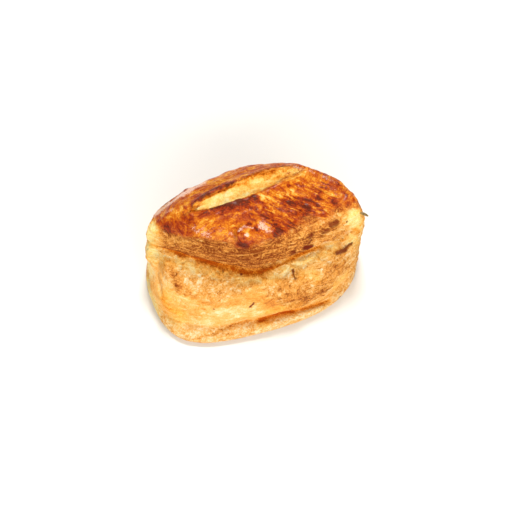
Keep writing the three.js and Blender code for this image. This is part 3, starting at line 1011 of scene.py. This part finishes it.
# %% Baked crust
FINE_NOISES = {
    # squeeze, size in mm, detail, roughness, distortion
    "layers": ((0.3, 0.3, 1.4), 1.2, 3.0, 0.6, 0.0),
    "speckle": (EVENLY, 0.7, 3.0, 0.7, 0.0),
    "pores": (EVENLY, 0.4, 2.0, 0.6, 0.0),
    "blotch": (EVENLY, 3.5, 4.0, 0.55, 1.0),
    "swirl": (EVENLY, 1.1, 3.0, 0.6, 1.5),
}
RINGS = (1.1, 4.0, 0.6, 0.8)
RAYS = (1.0, 4.0, 0.6, 0.8)
WRINKLES = ((0.55, 0.55, 1.0), 2.2, 1.2)  # squeeze, size in mm, distortion
MEANS = {"layers": 0.5, "speckle": 0.5, "pores": 0.5, "blotch": 0.5, "streaks": 0.5, "wrinkles": 0.7}
# how much each noise changes the doneness
DRY_MOTTLE = {"layers": 1.1, "speckle": 1.2, "wrinkles": 0.6, "pores": 0.5}
YELLOW_MOTTLE = {"layers": 0.8, "speckle": 0.9}
WASHED_MOTTLE = {"speckle": 0.8, "blotch": 1.3}
STREAK_MOTTLE = 0.9
FAN_STREAK_MOTTLE = 0.9  # more than the streaks elsewhere
# pale dried egg, with painted highlights and sheen, comes where swirls, streaks and a stroke meet
HIGHLIGHT_AND_SCALE_NOISES = {"swirl": 0.6, "streaks": 0.4, "scales": 0.34}
SCALE_STARTS = 0.7
SCALE_HARDNESS = 8.0
SCALE_IN_STROKE = 1.6
SCALE_COVER = 0.85
DRY_ROUGHNESS = 0.72
SMOOTHER = {"glaze": 0.34, "scales": 0.12}
ROUGHNESS_MOTTLE = 0.15
DRY_HEIGHT = {"speckle": 0.8, "layers": 0.9, "pores": 0.5, "wrinkles": 0.5}  # mm
GLAZE_FILLS = 0.8
STREAK_HEIGHT = 0.7  # mm
COAT = {"glaze": 0.12, "highlight_and_scale_cover": 0.2}


def baked_crust():
    crust = Finish("baked_crust")
    skin = {name: crust.attribute(name) for name in attributes}
    for name, (squeeze, *row) in FINE_NOISES.items():
        skin[name] = crust.noise(crust.place(squeeze), *row)
    squeeze, size, distortion = WRINKLES
    skin["wrinkles"] = crust.ridges(crust.place(squeeze), size, distortion)
    rings = crust.noise(crust.grain(skin["ring"]), *RINGS)
    rays = crust.noise(crust.grain(skin["fan_across"]), *RAYS)
    skin["streaks"] = rings + (rays - rings) * skin["fan"]
    mottle = {name: skin[name] - mean for name, mean in MEANS.items()}

    done = skin["done"]
    dry = done + mixed(mottle, DRY_MOTTLE) * skin["torn"]
    yellowed = done + mixed(mottle, YELLOW_MOTTLE)
    streakiness = skin["fan"] * FAN_STREAK_MOTTLE + STREAK_MOTTLE
    washed = done + mottle["streaks"] * streakiness + mixed(mottle, WASHED_MOTTLE)
    # the yellow road also paints the orange shade of the crease and seam and the warm light under
    # the lobe
    colour = crust.mix(skin["yellow"], crust.ramp(dry, DRY_DOUGH), crust.ramp(yellowed, BUTTER))
    colour = crust.mix(skin["glaze"], colour, crust.ramp(washed, EGG_WASH))
    highlight_and_scale_cover = ((mixed(skin, HIGHLIGHT_AND_SCALE_NOISES) - SCALE_STARTS) * SCALE_HARDNESS).clamped()
    highlight_and_scale_cover = highlight_and_scale_cover * (skin["scales"] * SCALE_IN_STROKE).clamped() * SCALE_COVER
    # painted highlights and sheen, as pale scales of dried egg
    colour = crust.mix(highlight_and_scale_cover, colour, DRIED_EGG_AND_HIGHLIGHT)
    colour = crust.mix(skin["bits"], colour, CRACKLING)

    roughness = DRY_ROUGHNESS - mixed(skin, SMOOTHER) + mottle["speckle"] * ROUGHNESS_MOTTLE
    dry_height = mixed(skin, DRY_HEIGHT) * skin["torn"]
    dry_height = dry_height * (1.0 - skin["glaze"] * GLAZE_FILLS)
    streak_height = skin["streaks"] * skin["glaze"] * STREAK_HEIGHT
    crust.surface({
        "Base Color": colour,
        "Roughness": roughness,
        "Coat Weight": skin["glaze"] * COAT["glaze"] + highlight_and_scale_cover * COAT["highlight_and_scale_cover"],
        "Coat Roughness": 0.2,
        "Specular IOR Level": 0.26,
        "Specular Tint": (1.0, 0.72, 0.4, 1.0),
        "Normal": crust.bump(dry_height + streak_height),
    })
    return crust.material


bun_skin.data.materials.append(baked_crust())
print("nodes of the crust:", len(bun_skin.data.materials[0].node_tree.nodes))
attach(bun_skin, "root")
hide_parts("bun")

# %% [markdown]
# ## The herb flake
#
# One dried leaf tip sticks out of the right end. It starts as a small grid, is bent and
# pinched to a leaf, and gets its thickness from the solidify operator. Its root is the point
# of the skin nearest to a named spot, so it stays stuck in the crust.

# %% Herb flake
FLAKE_PIXEL = (361, 213)
# all in mm
FLAKE_LENGTH = 4.0
FLAKE_WIDTH = 1.3
FLAKE_THICKNESS = 0.25
FLAKE_SUNK = 0.6
FLAKE_BOW = 0.5
FLAKE_CUP = 0.8
FLAKE_POINTS = Vector((0.8, -0.55, -0.25))  # the way it points
BOW_ANGLE = 2.4  # radians from root to tip
PINCH = (0.12, 0.82, 0.8)  # the start and the share of a half circle, and how full the leaf is


def herb_flake():
    leaf = bmesh.new()
    bmesh.ops.create_grid(leaf, x_segments=8, y_segments=3, size=0.5)
    root = Vector(moved[np.argmin(np.linalg.norm(points - on_skin(FLAKE_PIXEL), axis=1))])
    outward = FLAKE_POINTS.normalized()
    sidewise = outward.cross(Vector((0, 0, 1))).normalized()
    leaf_up = sidewise.cross(outward)
    start, cover, fullness = PINCH
    for corner in leaf.verts:
        share = corner.co.x + 0.5
        half = FLAKE_WIDTH * math.sin(math.pi * (start + cover * share)) ** fullness
        reach = outward * (FLAKE_LENGTH * share - FLAKE_SUNK)
        curl = FLAKE_BOW * math.sin(BOW_ANGLE * share) + FLAKE_CUP * corner.co.y ** 2
        corner.co = (root + reach + sidewise * (corner.co.y * half) + leaf_up * curl) * MM
    bmesh.ops.solidify(leaf, geom=leaf.faces[:], thickness=FLAKE_THICKNESS * MM)
    bmesh.ops.recalc_face_normals(leaf, faces=leaf.faces[:])
    flake = add_mesh("herb_flake", leaf)
    flake.data.shade_smooth()
    return flake


FLAKE_TONES = [(0.3, srgb(76, 56, 22)), (0.7, srgb(150, 120, 52))]
FLAKE_MOTTLE = (0.7, 2.0)  # size in mm and detail
FLAKE_VEINS = 0.2  # mm
VEIN_STRENGTH = 0.6


def dried_herb():
    herb = Finish("herb_fleck")
    tone = herb.noise(herb.place(EVENLY), *FLAKE_MOTTLE)
    herb.surface({
        "Base Color": herb.ramp(tone, FLAKE_TONES),
        "Roughness": 0.6,
        "Normal": herb.bump(tone * FLAKE_VEINS, VEIN_STRENGTH),
    })
    return herb.material


flake = herb_flake()
flake.data.materials.append(dried_herb())
print("points of the flake:", len(flake.data.vertices))
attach(flake, "root")

# %% [markdown]
# ## The floor
#
# A wide, plain floor takes the soft shadow and throws light back under the crust. It is a light
# grey, and the lamps make it nearly white.

# %% Floor
FLOOR_SIZE = 6000.0  # mm
FLOOR_GREY = (0.76, 0.76, 0.755, 1.0)


def pale_floor():
    sheet = bmesh.new()
    bmesh.ops.create_grid(sheet, x_segments=1, y_segments=1, size=FLOOR_SIZE / 2 * MM)
    floor = add_mesh("floor", sheet)
    plain = Finish("floor_white")
    plain.surface({"Base Color": FLOOR_GREY, "Roughness": 0.8})
    floor.data.materials.append(plain.material)
    return floor


print("side of the floor, mm:", FLOOR_SIZE)
pale_floor()

# %% [markdown]

# %% [markdown]
# Every piece now rides its body.
